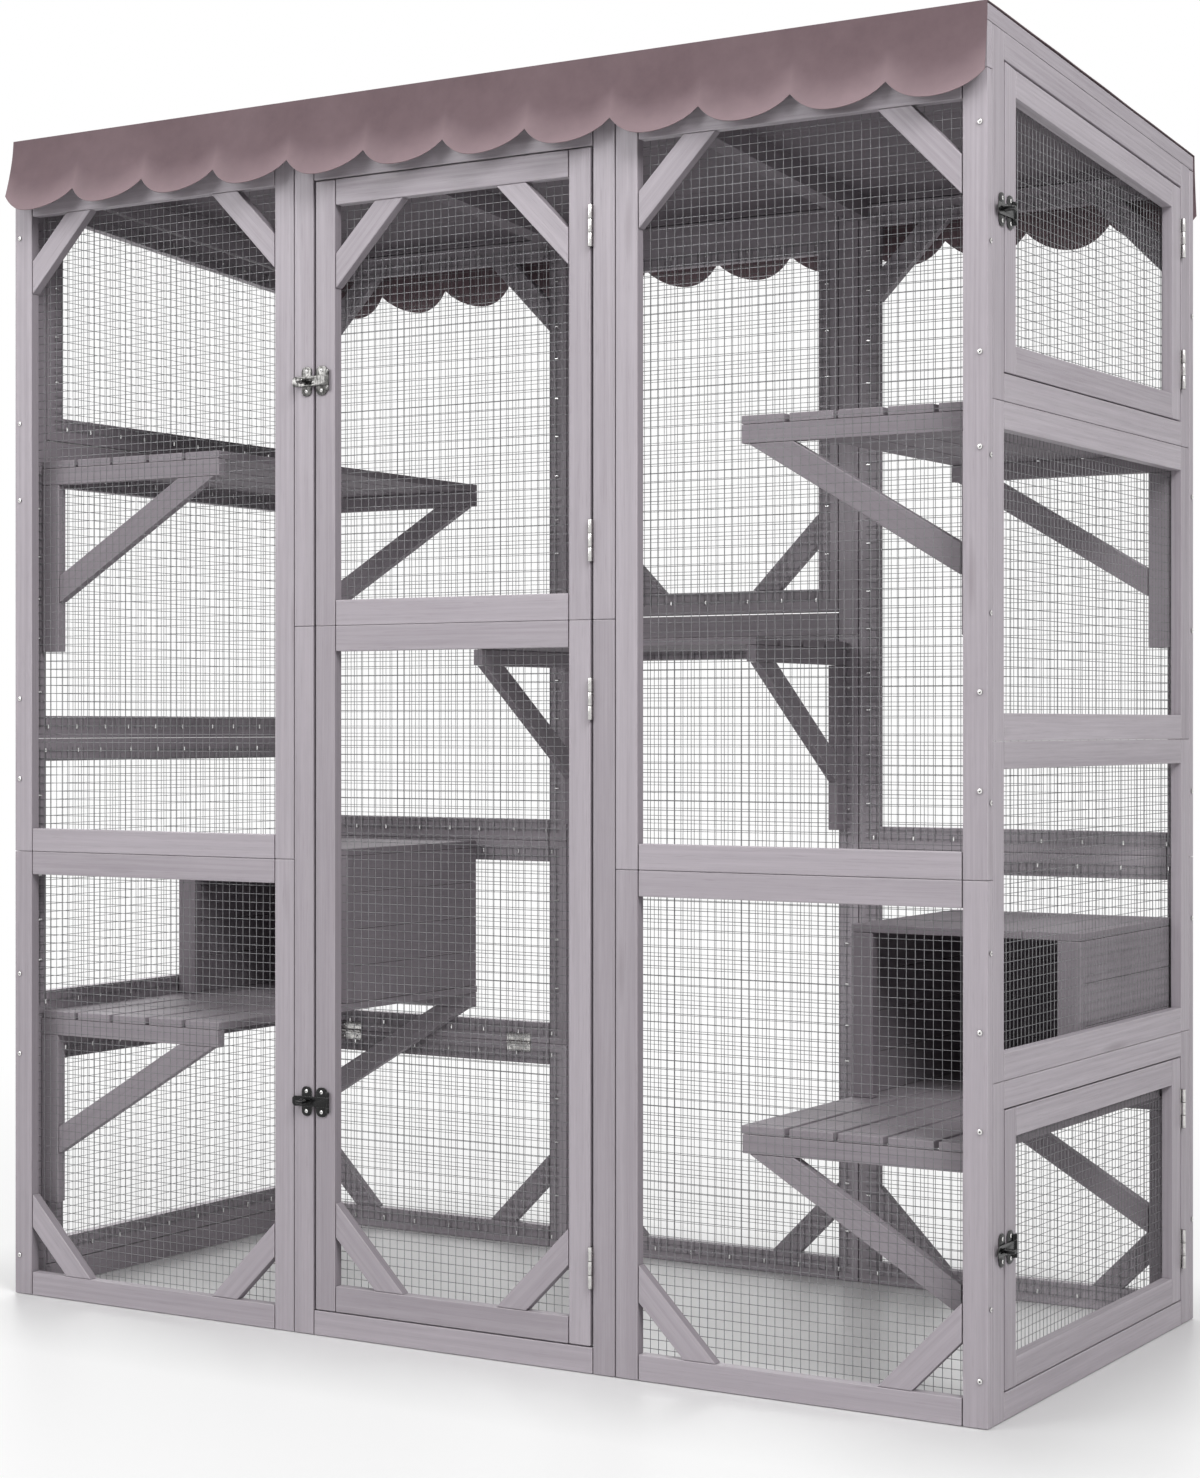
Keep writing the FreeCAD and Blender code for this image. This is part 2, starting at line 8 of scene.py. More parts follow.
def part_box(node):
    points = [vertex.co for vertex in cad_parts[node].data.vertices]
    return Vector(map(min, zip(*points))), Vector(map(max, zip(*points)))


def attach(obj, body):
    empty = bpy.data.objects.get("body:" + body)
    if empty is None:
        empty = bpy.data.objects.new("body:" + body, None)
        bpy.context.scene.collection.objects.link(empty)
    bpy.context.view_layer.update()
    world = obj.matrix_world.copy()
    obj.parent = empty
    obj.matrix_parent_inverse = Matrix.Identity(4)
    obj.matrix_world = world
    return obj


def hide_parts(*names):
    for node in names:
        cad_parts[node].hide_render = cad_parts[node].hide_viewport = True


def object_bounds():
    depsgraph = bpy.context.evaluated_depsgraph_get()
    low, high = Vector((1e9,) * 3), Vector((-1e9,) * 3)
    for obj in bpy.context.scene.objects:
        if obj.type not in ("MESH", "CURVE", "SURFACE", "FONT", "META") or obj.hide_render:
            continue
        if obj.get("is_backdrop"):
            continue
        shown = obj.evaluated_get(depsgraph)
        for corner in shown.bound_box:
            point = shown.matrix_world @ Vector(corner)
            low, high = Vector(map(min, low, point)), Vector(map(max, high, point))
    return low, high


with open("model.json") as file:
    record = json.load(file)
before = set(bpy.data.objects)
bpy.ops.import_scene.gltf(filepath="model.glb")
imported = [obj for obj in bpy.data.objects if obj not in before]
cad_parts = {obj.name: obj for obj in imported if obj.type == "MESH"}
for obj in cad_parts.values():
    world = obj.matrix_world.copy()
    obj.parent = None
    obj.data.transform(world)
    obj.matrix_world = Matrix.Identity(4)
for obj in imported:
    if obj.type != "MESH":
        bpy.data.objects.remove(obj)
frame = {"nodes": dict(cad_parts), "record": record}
cadLow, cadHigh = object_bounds()
eaveLow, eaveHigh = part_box("roof_frame")
doors = ["front_upper", "front_lower", "right_upper", "right_lower", "left_upper", "left_lower"]
slotOf = {entry["node"]: entry["material_slot"] for entry in frame["record"]["subparts"]}
bodies = frame["record"]["behaviour"]["bodies"]
bodyOf = {node: body for body, nodes in bodies.items() for node in nodes}
sameSpot = 0.0005  # places nearer than this are one place
print("frame:", len(frame["nodes"]), "nodes")


# selecting and finishing, as by hand
def pick(*pieces):
    if bpy.context.object and bpy.context.object.mode != "OBJECT":
        bpy.ops.object.mode_set(mode="OBJECT")
    bpy.ops.object.select_all(action="DESELECT")
    for piece in pieces:
        piece.select_set(True)
    bpy.context.view_layer.objects.active = pieces[0]
    return pieces[0]


def openEdit(piece):
    pick(piece)
    bpy.ops.object.mode_set(mode="EDIT")
    bpy.ops.mesh.select_all(action="SELECT")


def closeEdit():
    bpy.ops.object.mode_set(mode="OBJECT")


def settle():  # the active piece's place, turn and size go into its mesh
    bpy.ops.object.transform_apply(location=True, rotation=True, scale=True)
    return bpy.context.object


def modify(piece, kind, **settings):
    pick(piece)
    item = piece.modifiers.new("step", kind)
    for key, value in settings.items():
        setattr(item, key, value)
    bpy.ops.object.modifier_apply(modifier=item.name)


def meld(pieces):  # several pieces become one mesh
    pick(*pieces)
    if len(pieces) > 1:
        bpy.ops.object.join()
    return bpy.context.object


def mark(mesh, name, values, kind="FLOAT", domain="FACE", field="value"):
    mesh.attributes.new(name, kind, domain).data.foreach_set(field, values)


def fit(piece, name, body, finish, slot, *stoodFor):
    pick(piece)
    settle()
    piece.name = name
    piece.data.name = name
    piece.data.materials.clear()
    piece.data.materials.append(finish)
    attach(piece, body)
    if stoodFor:
        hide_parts(*stoodFor)
    return piece


# shader sums in plain Python
class Shade:
    def __init__(self, look, socket):
        self.look = look
        self.socket = socket

    def sum(self, operation, first, second):
        return self.look.add("ShaderNodeMath", {"operation": operation}, {0: first, 1: second})

    def __add__(self, other):
        return self.sum("ADD", self, other)

    def __sub__(self, other):
        return self.sum("SUBTRACT", self, other)

    def __rsub__(self, other):
        return self.sum("SUBTRACT", other, self)

    def __mul__(self, other):
        return self.sum("MULTIPLY", self, other)

    __radd__ = __add__
    __rmul__ = __mul__


class Look:
    def __init__(self, name, world=None, **constants):
        self.material = world or bpy.data.materials.new(name)
        self.material.use_nodes = True
        self.tree = self.material.node_tree
        self.shader = self.tree.nodes["Background" if world else "Principled BSDF"]
        for socket, value in constants.items():
            self.shader.inputs[socket.replace("_", " ")].default_value = value

    def link(self, socket, value):
        if isinstance(value, Shade):
            self.tree.links.new(value.socket, socket)
        else:
            socket.default_value = value

    def add(self, kind, settings=None, sockets=None, out=0):
        item = self.tree.nodes.new(kind)
        for key, value in (settings or {}).items():
            setattr(item, key, value)
        for key, value in (sockets or {}).items():
            self.link(item.inputs[key], value)
        return Shade(self, item.outputs[out])

    def attribute(self, name, out="Fac"):
        return self.add("ShaderNodeAttribute", {"attribute_name": name}, out=out)

    def objectSpot(self):
        return self.add("ShaderNodeTexCoord", out="Object")

    def vector(self, operation, *values, out=0):
        return self.add("ShaderNodeVectorMath", {"operation": operation}, dict(enumerate(values)), out)

    def stretch(self, spot, scale):
        return self.vector("MULTIPLY", spot, scale)

    def noise(self, spot, scale, detail=2.0, rough=0.5):
        sockets = {"Vector": spot, "Scale": scale, "Detail": detail, "Roughness": rough}
        return self.add("ShaderNodeTexNoise", {}, sockets)

    def span(self, value, low, high, start, end):  # a value's range laid onto another
        sockets = {"Value": value, "From Min": low, "From Max": high, "To Min": start, "To Max": end}
        return self.add("ShaderNodeMapRange", {"clamp": True}, sockets)

    def blend(self, share, first, second):
        return self.add("ShaderNodeMix", {"data_type": "RGBA"}, {0: share, 6: first, 7: second}, out=2)

    def seen(self):  # 1 for what the camera, a gloss or a glass shows
        kinds = ("Camera", "Glossy", "Transmission")
        flags = [self.add("ShaderNodeLightPath", out="Is %s Ray" % kind) for kind in kinds]
        return self.span(flags[0] + flags[1] + flags[2], 0.0, 1.0, 0.0, 1.0)

    def relief(self, height, strength, distance):
        sockets = {"Height": height, "Strength": strength, "Distance": distance}
        self.link(self.shader.inputs["Normal"], self.add("ShaderNodeBump", {}, sockets))

    def feed(self, **links):
        for socket, value in links.items():
            self.link(self.shader.inputs[socket.replace("_", " ")], value)
        return self.material


# stained timber, its grain along each board
stain = {
    "pale": (0.458, 0.418, 0.456, 1),
    "deep": (0.326, 0.293, 0.323, 1),
    "knot": (0.205, 0.175, 0.190, 1),
    # the lighter colour of eased edges, part wear and part painted highlight
    "rubbed": (0.520, 0.482, 0.508, 1),
    # the colour towards which painted shade darkens the timber
    "inner": (0.205, 0.181, 0.202, 1),
    "deeper": {"house": 0.72, "shelf": 0.58, "platform": 0.42, "roof_boards": 1.0},  # painted shade on the inside pieces
    "reveal": 0.55,  # and on the edges of the openings and the walls' inner sides
    "rafter": 0.85,  # and on the roof's timbers within the eaves
    "flatter": 0.36,  # less gloss where shade is painted
    "outerSkin": 0.004,  # faces this near the outside count as outside
    "sideways": 0.7,  # and those turned this far to left or right as side faces
    "grainShift": ((0, 9), (-0.05, 0.05), (0.02, 0.1)),  # no two boards share their figure
    "easedEdge": 0.0011,
    "jointGap": 0.0008,
    "stackedGap": 0.0003,
    "leafReach": 0.0016,
}


def stainedTimber():
    look = Look("mauveStain", Specular_IOR_Level=0.42)
    grain = look.attribute("grain", "Vector")
    tone = look.attribute("tone")
    rub = look.attribute("rub")
    # depth is a face's share of painted shade
    depth = look.attribute("depth")

    def drawnOut(scale, detail, rough=0.5):  # noise pulled out along the board
        return look.noise(look.stretch(grain, scale), 1.0, detail, rough)

    fibre = look.span(drawnOut((6, 340, 340), 5.0, 0.66), 0.33, 0.67, 0.0, 1.0)
    cloud = drawnOut((2.2, 17, 17), 2.0)
    settings = {"wave_type": "RINGS", "rings_direction": "X"}
    sockets = {
        "Vector": look.stretch(grain, (0.07, 1, 1)), "Scale": 52.0,
        "Distortion": 3.2, "Detail": 2.0, "Detail Scale": 0.8,
    }
    rings = look.add("ShaderNodeTexWave", settings, sockets)
    pores = look.span(drawnOut((24, 1100, 1100), 2.0), 0.60, 0.72, 0.0, 1.0)
    sockets = {"Vector": look.stretch(grain, (2.6, 19, 19)), "Scale": 1.0}
    knot = look.span(look.add("ShaderNodeTexVoronoi", {"feature": "F1"}, sockets), 0.04, 0.15, 1.0, 0.0)
    share = fibre * 0.36 + rings * 0.22 + cloud * 0.5 + tone * 0.46 - 0.27
    colour = look.blend(look.span(share, 0.0, 1.0, 0.0, 1.0), stain["pale"], stain["deep"])
    # painted shade: inside pieces and sheltered faces darkened
    colour = look.blend(depth, colour, stain["inner"])
    colour = look.blend(knot * 0.4 + pores * 0.3, colour, stain["knot"])
    # eased edges lightened: part wear, part painted highlight
    wearAndHighlight = look.span(cloud, 0.35, 0.7, 0.0, 0.4) * rub
    colour = look.blend(wearAndHighlight, colour, stain["rubbed"])
    look.relief(fibre * 0.5 + rings * 0.2 - pores * 0.6 - knot * 0.3, 0.32, 0.0005)
    rough = look.span(fibre + cloud, 0.6, 1.4, 0.40, 0.58) + depth * stain["flatter"]
    return look.feed(Base_Color=colour, Roughness=rough)


timberFinish = stainedTimber()


def cadRuns(node):  # a node's triangles, parted wherever a board closes
    mesh = frame["nodes"][node].data
    runs, run, unmet = [], [], set()
    for face in mesh.polygons:
        corners = [tuple(round(c, 6) for c in mesh.vertices[i].co) for i in face.vertices]
        run.append(corners)
        for start, end in zip(corners, corners[1:] + corners[:1]):
            if (end, start) in unmet:
                unmet.remove((end, start))
            else:
                unmet.add((start, end))
        if not unmet:
            runs.append(run)
            run = []
    return runs


def runSpots(run):
    return [Vector(corner) for corners in run for corner in corners]


def runBox(run):
    spots = runSpots(run)
    return [Vector(end(spot[i] for spot in spots) for i in range(3)) for end in (min, max)]


def boardAxes(run):  # the broadest face gives the flat, the longest true edge in it the grain
    corners = [[Vector(corner) for corner in face] for face in run]
    normals = [(b - a).cross(c - a) for a, b, c in corners]
    flat = max(normals, key=lambda normal: normal.length).normalized()
    along = Vector()
    for (a, b, c), normal in zip(corners, normals):
        if abs(normal.normalized().dot(flat)) < 0.999:
            for edge in (b - a, c - b, a - c):
                if abs(edge.dot(flat)) < 1e-5 and edge.length > along.length:
                    along = edge
    along = along.normalized()
    centre = sum((spot for face in corners for spot in face), Vector()) / (3 * len(corners))
    return along, flat.cross(along).normalized(), flat, centre


def boardMesh(node, runs):  # one mesh whose faces know their board
    spots, faces, owners = [], [], []
    for index, run in enumerate(runs):
        known = {}
        for corners in run:
            for corner in corners:
                if corner not in known:
                    known[corner] = len(spots)
                    spots.append(corner)
            faces.append([known[corner] for corner in corners])
            owners.append(index)
    mesh = bpy.data.meshes.new(node)
    mesh.from_pydata(spots, [], faces)
    mark(mesh, "board", owners, "INT")
    piece = bpy.data.objects.new(node + "_timber", mesh)
    bpy.context.scene.collection.objects.link(piece)
    mesh.materials.append(timberFinish)
    mesh.materials.append(timberFinish)  # marks eased edges until they are painted
    openEdit(piece)
    bpy.ops.mesh.dissolve_limited(angle_limit=0.01)
    closeEdit()
    return piece


def openJoints(piece, node):  # what is stacked sits closer than upright joints
    low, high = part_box(node)
    levels = [vertex.co.z for vertex in piece.data.vertices]
    leaf = node.endswith("_door") or node == "back_window_frame"
    openEdit(piece)
    bpy.ops.transform.shrink_fatten(value=-stain["jointGap"], use_even_offset=True)
    closeEdit()
    for vertex, level in zip(piece.data.vertices, levels):
        vertex.co.z = level + (vertex.co.z - level) * stain["stackedGap"] / stain["jointGap"]
        if leaf:  # no light shows over or under it
            end = (level > high.z - sameSpot) - (level < low.z + sameSpot)
            vertex.co.z += end * stain["leafReach"]


def stainDepth(node, face):  # how much painted shade a face takes
    deeper = max([share for word, share in stain["deeper"].items() if word in node], default=0.0)
    within = [abs(face.center[i]) < eaveHigh[i] - stain["outerSkin"] for i in range(2)]
    if node == "roof_frame":
        sheltered = stain["rafter"] if all(within) else 0.0
    else:
        sheltered = stain["reveal"] if abs(face.normal.x) > stain["sideways"] and within[0] else 0.0
    return max(deeper, sheltered)


def paintBoards(piece, node, runs):
    mesh = piece.data
    chance = random.Random(node)
    axes = [boardAxes(run) for run in runs]
    shifts = [Vector([chance.uniform(*ends) for ends in stain["grainShift"]]) for run in runs]
    tones = [chance.random() for run in runs]
    owners = [entry.value for entry in mesh.attributes["board"].data]
    grain = [0.0] * (len(mesh.vertices) * 3)
    for face in mesh.polygons:
        along, across, flat, centre = axes[owners[face.index]]
        shift = shifts[owners[face.index]]
        for i in face.vertices:
            spot = mesh.vertices[i].co - centre
            turned = Vector((spot.dot(along), spot.dot(across), spot.dot(flat)))
            grain[i * 3:i * 3 + 3] = turned + shift
    mark(mesh, "grain", grain, "FLOAT_VECTOR", "POINT", "vector")
    mark(mesh, "tone", [tones[i] for i in owners])
    # eased edges, to be lightened as wear and painted highlight
    mark(mesh, "rub", [float(face.material_index == 1) for face in mesh.polygons])
    # depth holds the share of painted shade, for inside pieces and sheltered faces
    mark(mesh, "depth", [stainDepth(node, face) for face in mesh.polygons])
    mesh.polygons.foreach_set("material_index", [0] * len(mesh.polygons))
    mesh.attributes.remove(mesh.attributes["board"])


def timberPiece(node, body):
    runs = cadRuns(node)
    piece = boardMesh(node, runs)
    openJoints(piece, node)
    modify(piece, "BEVEL", width=stain["easedEdge"], segments=2, limit_method="ANGLE", material=1)
    paintBoards(piece, node, runs)
    fit(piece, node + "_timber", body, timberFinish, "timber", node)
    return len(runs)


boards = 0
for node in sorted(slotOf):
    if slotOf[node] == "timber":
        boards += timberPiece(node, bodyOf[node])
print("timber:", boards, "boards")


# welded wire mesh at its true pitch, stapled behind the timber
wire = {
    "pitch": 0.0127,
    "gauge": 0.00045,
    "sides": 6,
    "lap": 0.010,
    "levelLayer": 2.9,  # gauges behind the timber, past the upright wires
    "stapleLayer": 3.8,
    "slopeFrom": 0.002,  # a top that rises more than this is cut along the roof
    "pale": (0.26, 0.26, 0.268, 1),
    "dull": (0.15, 0.15, 0.156, 1),
}


def zincWire():
    look = Look("galvanisedWire", Metallic=0.55)
    spot = look.objectSpot()
    spangle = look.noise(spot, 420.0, 2.0)
    dull = look.noise(spot, 9.0, 2.0)
    share = look.span(spangle + dull, 0.7, 1.3, 0.0, 1.0)
    colour = look.blend(share, wire["pale"], wire["dull"])
    return look.feed(Base_Color=colour, Roughness=look.span(spangle, 0.3, 0.7, 0.38, 0.55))


wireFinish = zincWire()


def strand(start, end):  # one straight wire along its axis
    line = end - start
    sizes = {"vertices": wire["sides"], "radius": wire["gauge"], "depth": line.length}
    bpy.ops.object.select_all(action="DESELECT")
    bpy.ops.mesh.primitive_cylinder_add(location=(start + end) / 2, **sizes)
    item = bpy.context.object
    item.rotation_mode = "QUATERNION"
    item.rotation_quaternion = line.to_track_quat("Z", "Y")
    return settle()


def layer(start, end, step, count):
    item = strand(start, end)
    offset = {"use_relative_offset": False, "use_constant_offset": True, "constant_offset_displace": step}
    modify(item, "ARRAY", count=count, **offset)
    return item


def netPanel(run):  # where one net lies, lapped over the timber round it
    low, high = runBox(run)
    thin = 0 if high.x - low.x < high.y - low.y else 1
    wide = 1 - thin
    inward = -1.0 if low[thin] + high[thin] > 0 else 1.0
    wall = high[thin] if inward < 0 else low[thin]  # the timber's inner face
    tops = []
    for end in (low[wide], high[wide]):
        levels = [spot.z for spot in runSpots(run) if abs(spot[wide] - end) < sameSpot]
        tops.append(max(levels) + wire["lap"])
    for corner, sign in ((low, -1), (high, 1)):
        corner[wide] += sign * wire["lap"]
        corner.z += sign * wire["lap"]
    return {"low": low, "high": high, "thin": thin, "wide": wide, "inward": inward, "wall": wall, "tops": tops}


def onWall(panel, u, z, depth):  # a spot so far behind a panel's timber
    spot = Vector((0, 0, z))
    spot[panel["wide"]] = u
    spot[panel["thin"]] = panel["wall"] + panel["inward"] * depth
    return spot


def stretchNet(panel):  # upright wires, then level ones on their inner side
    low, high, wide = panel["low"], panel["high"], panel["wide"]
    pitch, near, far = wire["pitch"], wire["gauge"], wire["gauge"] * wire["levelLayer"]
    columns = int((high[wide] - low[wide]) / pitch) + 1
    rows = int((high.z - low.z) / pitch) + 1
    first = low[wide] + (high[wide] - low[wide] - pitch * (columns - 1)) / 2
    foot = low.z + (high.z - low.z - pitch * (rows - 1)) / 2
    sideStep, upStep = Vector(), Vector((0, 0, pitch))
    sideStep[wide] = pitch
    uprights = onWall(panel, first, low.z, near), onWall(panel, first, high.z, near)
    levels = onWall(panel, low[wide], foot, far), onWall(panel, high[wide], foot, far)
    return [layer(*uprights, sideStep, columns), layer(*levels, upStep, rows)]


def trimNet(panel, layers):  # the top follows the roof
    start = onWall(panel, panel["low"][panel["wide"]], panel["tops"][0], 0)
    slope = onWall(panel, panel["high"][panel["wide"]], panel["tops"][1], 0) - start
    normal = slope.cross(onWall(panel, 0, 0, 1) - onWall(panel, 0, 0, 0))
    if normal.z < 0:
        normal.negate()
    for item in layers:
        openEdit(item)
        bpy.ops.mesh.bisect(plane_co=start, plane_no=normal, clear_outer=True, use_fill=True)
        closeEdit()


def netPiece(node, body):
    parts, panels = [], []
    for run in cadRuns(node):
        panel = netPanel(run)
        layers = stretchNet(panel)
        if abs(panel["tops"][0] - panel["tops"][1]) > wire["slopeFrom"]:
            trimNet(panel, layers)
        parts += layers
        panels.append(panel)
    fit(meld(parts), node + "_wire", body, wireFinish, "mesh", node)
    return panels


netPanels = {}
for node in sorted(slotOf):
    if slotOf[node] == "mesh":
        netPanels[node] = netPiece(node, bodyOf[node])
print("mesh:", sum(len(panels) for panels in netPanels.values()), "panels")


# fabric roof cover, scalloped over both eaves
cover = {
    "lobes": 12,
    "steps": 14,  # columns to a lobe
    "valanceRows": 14,
    "topRows": 26,
    "roofFall": 0.060,
    "roofSlope": 1.003,  # length along the roof over its depth
    "drop": 0.117,
    "scallop": 0.030,
    "cutAway": 0.031,  # square metres between the lobes
    "flareLeft": 0.030,
    "flareRight": 0.014,
    "flareCurve": 1.7,  # both grow faster towards the hem
    "puff": 0.011,
    "puffCurve": 3,
    "standOff": 0.0016,
    "lift": 0.0012,
    "sway": 0.0012,
    "swayWaves": (23, 4),  # across the cloth and along it
    "ripple": 0.0006,
    "rippleWaves": ((11, 17), (5, -9)),
    "hemBand": 0.045,
    "skin": 0.0012,
    # the cloth's two tones; the lighter one is laid on more towards the hems as painted light on the flared lobes
    "upper": (0.108, 0.068, 0.078, 1),
    "lower": (0.250, 0.180, 0.195, 1),
    "between": (0.10, 0.065, 0.07, 1),  # painted shade in the weave's hollows
    "thread": 0.0007,
}


def brushedCloth():
    look = Look("brushedCloth", Sheen_Weight=0.12, Sheen_Roughness=0.45, Specular_IOR_Level=0.3)
    spot = look.objectSpot()
    nap = look.noise(spot, 34.0, 4.0, 0.6)
    patch = look.noise(spot, 9.0, 2.0)
    # painted light, growing towards the hem
    hem = look.attribute("hem")
    weave = look.add("ShaderNodeUVMap", {"uv_map": "cloth"})
    threads = []
    for direction in ("X", "Y"):
        settings = {"wave_type": "BANDS", "bands_direction": direction}
        sockets = {"Vector": weave, "Scale": 0.314 / cover["thread"]}  # a band is a tenth of pi wide at scale 1
        threads.append(look.add("ShaderNodeTexWave", settings, sockets))
    cloth = threads[0] * threads[1]
    # lighter towards the hems: painted light on the lobes that face the light
    share = look.span(nap * 0.42 + patch * 0.4 + hem * 0.6 - 0.15, 0.1, 0.85, 0.0, 1.0)
    colour = look.blend(share, cover["upper"], cover["lower"])
    # painted shade between the threads
    colour = look.blend(cloth * 0.12, colour, cover["between"])
    look.relief(cloth * 0.4 + nap * 0.8, 0.3, 0.0006)
    return look.feed(Base_Color=colour, Roughness=look.span(nap, 0.3, 0.7, 0.62, 0.8))


clothFinish = brushedCloth()


def clothWave(x, share, waves):
    return math.sin(x * waves[0] + share * waves[1])


def coverSpot(x, row, rows):  # place of a grid point, and its share of the painted light near a hem
    half, valance = eaveHigh.x, cover["valanceRows"]
    frontZ, backZ = eaveHigh.z, eaveHigh.z - cover["roofFall"]
    lobe = 2 * half / cover["lobes"]
    offset = (x + half) % lobe - lobe / 2
    radius = (lobe * lobe / 4 + cover["scallop"] ** 2) / (2 * cover["scallop"])
    length = cover["drop"] - (radius - math.sqrt(radius * radius - offset * offset))
    flare = cover["flareLeft"] + (cover["flareRight"] - cover["flareLeft"]) * (x + half) / (2 * half)
    swell = math.cos(math.pi * offset / lobe)
    front = row <= valance
    if front or row >= rows - valance:
        share = 1 - (row if front else rows - row) / valance
        fall = share * length
        part = fall / cover["drop"]
        out = cover["standOff"] + flare * part ** cover["flareCurve"]
        out += cover["puff"] * swell * part ** cover["puffCurve"]
        out += cover["sway"] * clothWave(x, part, cover["swayWaves"]) * part
        y = eaveLow.y - out if front else eaveHigh.y + out
        z = (frontZ if front else backZ) - fall + cover["lift"] * (1 - share)
        return Vector((x, y, z)), max(0.0, 1 - (length - fall) / cover["hemBand"])
    share = (row - valance) / (rows - 2 * valance)
    first, second = (clothWave(x, share, waves) for waves in cover["rippleWaves"])
    ripple = cover["ripple"] * (1 + first * second)
    y = eaveLow.y + (eaveHigh.y - eaveLow.y) * share
    z = frontZ + (backZ - frontZ) * share + cover["lift"] + ripple * math.sin(math.pi * share)
    return Vector((x, y, z)), 0.0


def coverPiece():
    columns = cover["lobes"] * cover["steps"]
    rows = cover["valanceRows"] * 2 + cover["topRows"]
    half = eaveHigh.x
    bpy.ops.object.select_all(action="DESELECT")
    bpy.ops.mesh.primitive_grid_add(x_subdivisions=columns, y_subdivisions=rows, size=2)
    piece = bpy.context.object
    mesh = piece.data
    hemLights, flat = [], []
    for vertex in mesh.vertices:
        column = round((vertex.co.x + 1) / 2 * columns)
        row = round((vertex.co.y + 1) / 2 * rows)
        x = -half + 2 * half * column / columns
        if 0 < column < columns and column % cover["steps"] == 0:
            x += 1e-6  # just past the point between two lobes
        vertex.co, hem = coverSpot(min(x, half - 1e-7), row, rows)
        hemLights.append(hem)
        flat.append((x, vertex.co.y - vertex.co.z))
    # the painted light's share near the hems
    mark(mesh, "hem", hemLights, domain="POINT")
    weave = mesh.uv_layers.new(name="cloth")
    for loop in mesh.loops:
        weave.data[loop.index].uv = flat[loop.vertex_index]
    for extra in [entry.name for entry in mesh.uv_layers if entry.name != "cloth"]:
        mesh.uv_layers.remove(mesh.uv_layers[extra])
    openEdit(piece)
    bpy.ops.mesh.normals_make_consistent(inside=False)
    closeEdit()
    if mesh.polygons[len(mesh.polygons) // 2].normal.z < 0:
        mesh.flip_normals()
    modify(piece, "SOLIDIFY", thickness=cover["skin"], offset=1.0)
    bpy.ops.object.shade_smooth_by_angle(angle=math.radians(50))
    fit(piece, "roof_cover_cloth", "enclosure", clothFinish, "fabric", "roof_cover")


coverPiece()
print("cover: one sheet")


# metal fittings, modelled once about the door's gap with the wall face at y = 0 and out towards -y
polish = {
    # painted shade on rims and in the screws' crosses
    "groove": (0.05, 0.049, 0.047, 1),
    "screw": (0.78, 0.77, 0.76, 1),
    "black": (0.004, 0.004, 0.0045, 1),
    "lessBlack": (0.011, 0.0112, 0.0115, 1),
    # painted highlight on the black rims
    "rubbedBlack": (0.16, 0.16, 0.157, 1),
}


def brightNickel(name, pale, dim):
    look = Look(name, Metallic=1.0)
    spot = look.objectSpot()
    brush = look.noise(look.stretch(spot, (900, 900, 60)), 1.0, 2.0)
    # mottle of tarnish; in the darkened nickel its strong blotches are painted reflection
    tarnishAndReflection = look.noise(spot, 160.0, 2.0)
    colour = look.blend(look.span(brush * 0.4 + tarnishAndReflection * 0.6, 0.35, 0.65, 0.0, 1.0), pale, dim)
    # eased rims, screw edges and the screws' crosses darkened: painted shade
    colour = look.blend(look.attribute("edge"), colour, polish["groove"])
    colour = look.blend(look.attribute("head") * 0.8, colour, polish["screw"])
    return look.feed(Base_Color=colour, Roughness=look.span(brush + tarnishAndReflection, 0.7, 1.3, 0.16, 0.34))


def blackEnamel():
    look = Look("blackEnamel", Specular_IOR_Level=0.28)
    speck = look.noise(look.objectSpot(), 700.0, 2.0)
    head = look.attribute("head")  # its screws are bright
    colour = look.blend(speck, polish["black"], polish["lessBlack"])
    # eased rims lightened: painted highlight
    colour = look.blend(look.attribute("edge") * 0.6, colour, polish["rubbedBlack"])
    colour = look.blend(head, colour, polish["screw"])
    look.relief(speck, 0.06, 0.0002)
    return look.feed(Base_Color=colour, Metallic=head, Roughness=look.span(speck, 0.3, 0.7, 0.18, 0.34))


metalFinish = {
    "bright_steel": brightNickel("brightNickel", (0.74, 0.73, 0.71, 1), (0.46, 0.45, 0.44, 1)),
    "black_steel": blackEnamel(),
    "staple_steel": brightNickel("paleZinc", (0.97, 0.97, 0.96, 1), (0.80, 0.80, 0.79, 1)),
    # nickel darkened and blotched all over: painted dark reflection
    "smoked_steel": brightNickel("smokedNickel", (0.23, 0.226, 0.22, 1), (0.022, 0.0216, 0.021, 1)),
}
facing = (math.pi / 2, 0, 0)  # turns a drum's axis out of the wall
nearly = 0.9  # share of an axis from which a face or an edge counts as along it


def slotted(item):  # until the finish goes on, the second slot marks edges and the third screws
    for finish in metalFinish.values():
        item.data.materials.append(finish)
    return item


def block(size, at):
    bpy.ops.object.select_all(action="DESELECT")
    bpy.ops.mesh.primitive_cube_add(size=1, location=at)
    bpy.context.object.scale = size
    return slotted(settle())


def drum(radius, length, at, turn=(0, 0, 0), sides=20):
    sizes = {"vertices": sides, "radius": radius, "depth": length}
    bpy.ops.object.select_all(action="DESELECT")
    bpy.ops.mesh.primitive_cylinder_add(location=at, rotation=turn, **sizes)
    return slotted(settle())


